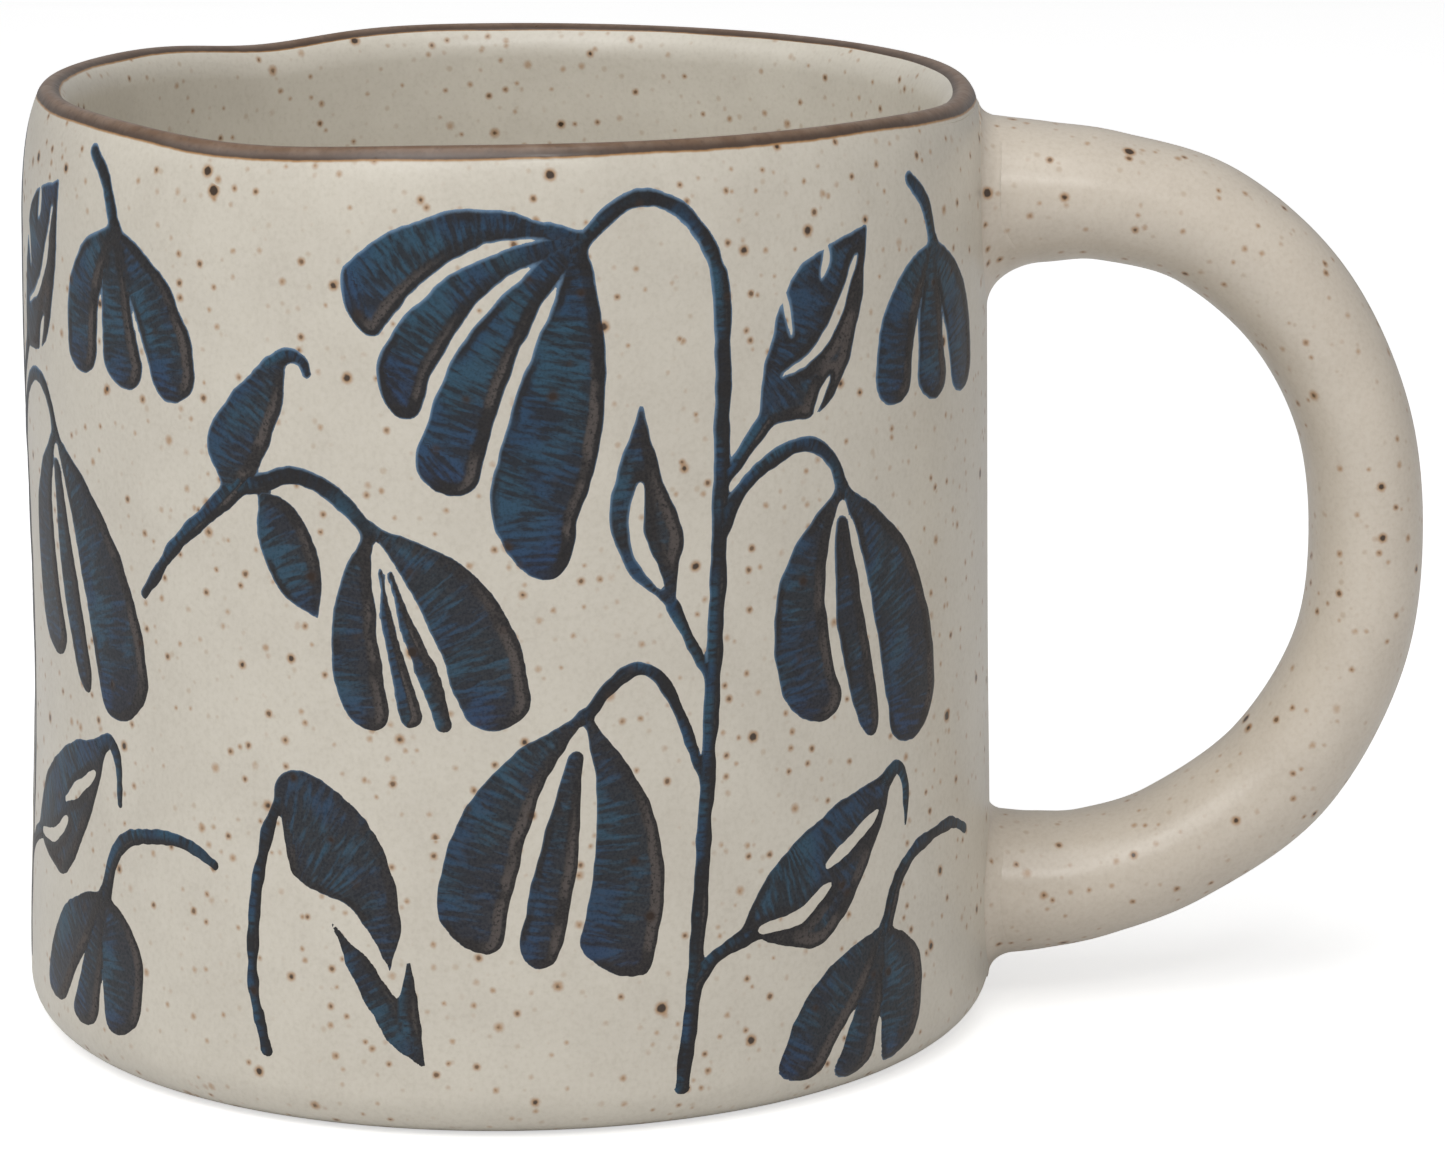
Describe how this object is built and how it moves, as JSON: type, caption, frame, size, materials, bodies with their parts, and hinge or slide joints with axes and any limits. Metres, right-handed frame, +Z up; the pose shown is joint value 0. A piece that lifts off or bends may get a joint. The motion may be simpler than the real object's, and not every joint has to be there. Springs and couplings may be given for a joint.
{
  "type": "stoneware mug",
  "caption": "Straight-sided stoneware mug with a brown lip and a round loop handle luted to the wall at two slip joints.",
  "frame": {"origin": "on the cup's axis, in the plane that the flat foot rests on", "axes": "+Z up along the cup's axis, +X from the axis towards the handle, which is the mug's longest direction"},
  "size_m": [0.1291, 0.089, 0.0865],
  "materials": {
    "speckled_glaze": "satin glaze with iron specks and blue underglaze sprays",
    "iron_oxide": "satin brown oxide",
    "handle_glaze": "satin glaze with iron specks",
    "slip": "satin glaze over slip"
  },
  "bodies": {
    "root": {"mug_body": "speckled_glaze", "rim_band": "iron_oxide", "handle": "handle_glaze", "upper_slip_joint": "slip", "lower_slip_joint": "slip"}
  },
  "joints": []
}
